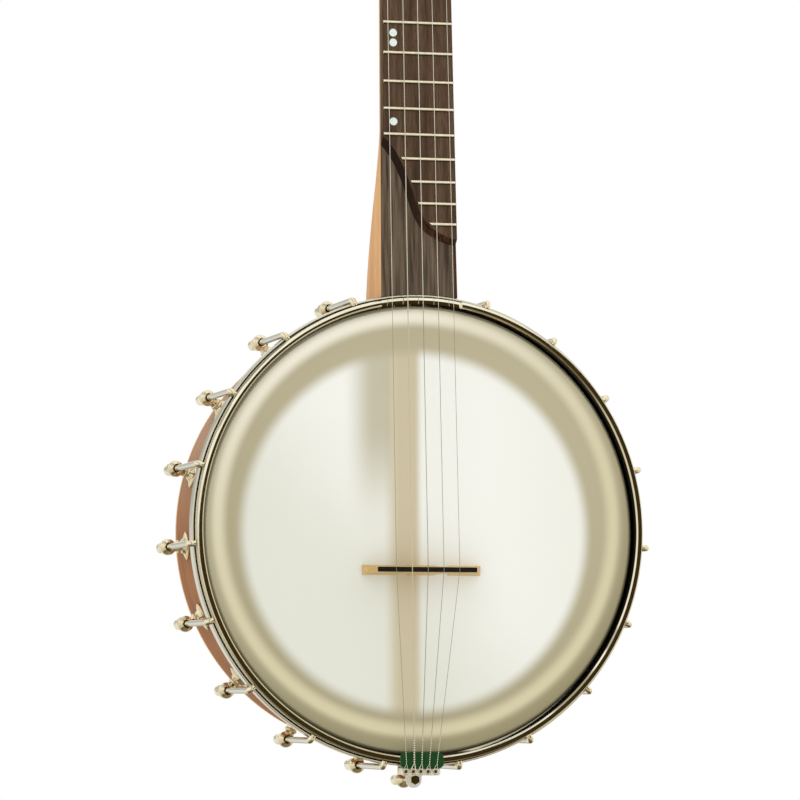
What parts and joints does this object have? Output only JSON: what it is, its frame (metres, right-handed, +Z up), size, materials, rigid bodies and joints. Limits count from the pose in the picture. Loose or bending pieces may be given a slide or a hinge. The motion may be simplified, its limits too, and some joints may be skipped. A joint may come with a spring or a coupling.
{
  "type": "open-back five-string banjo",
  "caption": "Open-back banjo: round drum pot with head, grooved hoop and bracket hooks, dowel stick, long fretted neck with a scooped end, and geared tuning pegs.",
  "frame": {"origin": "centre of the pot's round head, on its playing surface", "axes": "+Z up the neck, -Y the front (playing) side, +Y the open back, +X the treble side"},
  "size_m": [0.3144, 0.1029, 0.9514],
  "materials": {
    "rim_wood": "satin oil on laminated reddish-brown hardwood",
    "cap_wood": "satin oil on pale hardwood",
    "neck_wood": "satin oil on light orange-brown hardwood",
    "rosewood": "oiled open-pored dark rosewood",
    "ebony": "polished near-black wood",
    "maple": "bare pale maple",
    "head_film": "translucent frosted film",
    "nickel": "polished nickel plate with a warm tint",
    "brass": "bare rolled brass",
    "gear_steel": "machined and greased",
    "string_steel": "plain drawn steel",
    "wound_steel": "round-wound wrap",
    "fret_metal": "polished pale nickel silver",
    "pearl": "mother-of-pearl sheen",
    "bone": "polished bone",
    "felt": "green wool felt",
    "knob_pearl": "pale pearloid plastic"
  },
  "bodies": {
    "root": {"rim": "rim_wood", "rim_cap": "cap_wood", "tone_ring": "brass", "head": "head_film", "flesh_hoop": "nickel", "tension_hoop": "nickel", "bracket_shoes": "nickel", "shoe_bolts": "nickel", "hook_bolts": "nickel", "hook_nuts": "nickel", "dowel_stick": "neck_wood", "neck_brace": "nickel", "brace_screws": "nickel", "end_bolt": "nickel", "tail_hanger": "nickel", "tailpiece": "nickel", "tail_bolt": "nickel", "tail_felt": "felt", "bridge_base": "maple", "bridge_cap": "ebony", "plain_strings": "string_steel", "wound_string": "wound_steel", "neck": "neck_wood", "peghead_overlay": "rosewood", "truss_rod": "string_steel", "truss_cover": "ebony", "fretboard": "rosewood", "frets": "fret_metal", "inlay_dots": "pearl", "nut": "bone", "fifth_nut": "bone", "tuner_housings": "nickel", "tuner_bushings": "nickel", "tuner_nuts": "nickel", "fifth_peg_cage": "nickel"},
    "knob_1": {"peg_knob_1": "knob_pearl", "peg_shaft_1": "nickel"},
    "post_1": {"peg_post_1": "nickel"},
    "planet_a_1": {"planet_a_1": "gear_steel"},
    "planet_b_1": {"planet_b_1": "gear_steel"},
    "knob_2": {"peg_knob_2": "knob_pearl", "peg_shaft_2": "nickel"},
    "post_2": {"peg_post_2": "nickel"},
    "planet_a_2": {"planet_a_2": "gear_steel"},
    "planet_b_2": {"planet_b_2": "gear_steel"},
    "knob_3": {"peg_knob_3": "knob_pearl", "peg_shaft_3": "nickel"},
    "post_3": {"peg_post_3": "nickel"},
    "planet_a_3": {"planet_a_3": "gear_steel"},
    "planet_b_3": {"planet_b_3": "gear_steel"},
    "knob_4": {"peg_knob_4": "knob_pearl", "peg_shaft_4": "nickel"},
    "post_4": {"peg_post_4": "nickel"},
    "planet_a_4": {"planet_a_4": "gear_steel"},
    "planet_b_4": {"planet_b_4": "gear_steel"},
    "knob_5": {"peg_knob_5": "knob_pearl", "peg_shaft_5": "nickel"},
    "post_5": {"peg_post_5": "nickel"},
    "planet_a_5": {"planet_a_5": "gear_steel"},
    "planet_b_5": {"planet_b_5": "gear_steel"}
  },
  "joints": [
    {"name": "knob_spin_1", "type": "hinge", "parent": "root", "child": "knob_1", "pos_m": [0.02509, 0.02881, 0.68286], "axis": [0, -0.9594, 0.282], "continuous": true},
    {"name": "post_spin_1", "type": "hinge", "parent": "root", "child": "post_1", "pos_m": [0.02509, 0.02881, 0.68286], "axis": [0, -0.9594, 0.282], "continuous": true},
    {"name": "planet_a_spin_1", "type": "hinge", "parent": "post_1", "child": "planet_a_1", "pos_m": [0.02989, 0.02881, 0.68286], "axis": [0, -0.9594, 0.282], "continuous": true},
    {"name": "planet_b_spin_1", "type": "hinge", "parent": "post_1", "child": "planet_b_1", "pos_m": [0.02029, 0.02881, 0.68286], "axis": [0, -0.9594, 0.282], "continuous": true},
    {"name": "knob_spin_2", "type": "hinge", "parent": "root", "child": "knob_2", "pos_m": [0.02709, 0.04856, 0.75002], "axis": [0, -0.9594, 0.282], "continuous": true},
    {"name": "post_spin_2", "type": "hinge", "parent": "root", "child": "post_2", "pos_m": [0.02709, 0.04856, 0.75002], "axis": [0, -0.9594, 0.282], "continuous": true},
    {"name": "planet_a_spin_2", "type": "hinge", "parent": "post_2", "child": "planet_a_2", "pos_m": [0.03189, 0.04856, 0.75002], "axis": [0, -0.9594, 0.282], "continuous": true},
    {"name": "planet_b_spin_2", "type": "hinge", "parent": "post_2", "child": "planet_b_2", "pos_m": [0.02229, 0.04856, 0.75002], "axis": [0, -0.9594, 0.282], "continuous": true},
    {"name": "knob_spin_3", "type": "hinge", "parent": "root", "child": "knob_3", "pos_m": [-0.02091, 0.04856, 0.75002], "axis": [0, -0.9594, 0.282], "continuous": true},
    {"name": "post_spin_3", "type": "hinge", "parent": "root", "child": "post_3", "pos_m": [-0.02091, 0.04856, 0.75002], "axis": [0, -0.9594, 0.282], "continuous": true},
    {"name": "planet_a_spin_3", "type": "hinge", "parent": "post_3", "child": "planet_a_3", "pos_m": [-0.01611, 0.04856, 0.75002], "axis": [0, -0.9594, 0.282], "continuous": true},
    {"name": "planet_b_spin_3", "type": "hinge", "parent": "post_3", "child": "planet_b_3", "pos_m": [-0.02571, 0.04856, 0.75002], "axis": [0, -0.9594, 0.282], "continuous": true},
    {"name": "knob_spin_4", "type": "hinge", "parent": "root", "child": "knob_4", "pos_m": [-0.01891, 0.02881, 0.68286], "axis": [0, -0.9594, 0.282], "continuous": true},
    {"name": "post_spin_4", "type": "hinge", "parent": "root", "child": "post_4", "pos_m": [-0.01891, 0.02881, 0.68286], "axis": [0, -0.9594, 0.282], "continuous": true},
    {"name": "planet_a_spin_4", "type": "hinge", "parent": "post_4", "child": "planet_a_4", "pos_m": [-0.01411, 0.02881, 0.68286], "axis": [0, -0.9594, 0.282], "continuous": true},
    {"name": "planet_b_spin_4", "type": "hinge", "parent": "post_4", "child": "planet_b_4", "pos_m": [-0.02371, 0.02881, 0.68286], "axis": [0, -0.9594, 0.282], "continuous": true},
    {"name": "knob_spin_5", "type": "hinge", "parent": "root", "child": "knob_5", "pos_m": [-0.01644, 0.02045, 0.4973], "axis": [0.9659, -0.0107, -0.2586], "continuous": true},
    {"name": "post_spin_5", "type": "hinge", "parent": "root", "child": "post_5", "pos_m": [-0.01644, 0.02045, 0.4973], "axis": [0.9659, -0.0107, -0.2586], "continuous": true},
    {"name": "planet_a_spin_5", "type": "hinge", "parent": "post_5", "child": "planet_a_5", "pos_m": [-0.0152, 0.02064, 0.50193], "axis": [0.9659, -0.0107, -0.2586], "continuous": true},
    {"name": "planet_b_spin_5", "type": "hinge", "parent": "post_5", "child": "planet_b_5", "pos_m": [-0.01768, 0.02026, 0.49266], "axis": [0.9659, -0.0107, -0.2586], "continuous": true}
  ],
  "couplings": [
    {"joint": "post_spin_1", "follows": "knob_spin_1", "ratio": 0.25},
    {"joint": "planet_a_spin_1", "follows": "knob_spin_1", "ratio": -0.75},
    {"joint": "planet_b_spin_1", "follows": "knob_spin_1", "ratio": -0.75},
    {"joint": "post_spin_2", "follows": "knob_spin_2", "ratio": 0.25},
    {"joint": "planet_a_spin_2", "follows": "knob_spin_2", "ratio": -0.75},
    {"joint": "planet_b_spin_2", "follows": "knob_spin_2", "ratio": -0.75},
    {"joint": "post_spin_3", "follows": "knob_spin_3", "ratio": 0.25},
    {"joint": "planet_a_spin_3", "follows": "knob_spin_3", "ratio": -0.75},
    {"joint": "planet_b_spin_3", "follows": "knob_spin_3", "ratio": -0.75},
    {"joint": "post_spin_4", "follows": "knob_spin_4", "ratio": 0.25},
    {"joint": "planet_a_spin_4", "follows": "knob_spin_4", "ratio": -0.75},
    {"joint": "planet_b_spin_4", "follows": "knob_spin_4", "ratio": -0.75},
    {"joint": "post_spin_5", "follows": "knob_spin_5", "ratio": 0.25},
    {"joint": "planet_a_spin_5", "follows": "knob_spin_5", "ratio": -0.75},
    {"joint": "planet_b_spin_5", "follows": "knob_spin_5", "ratio": -0.75}
  ]
}
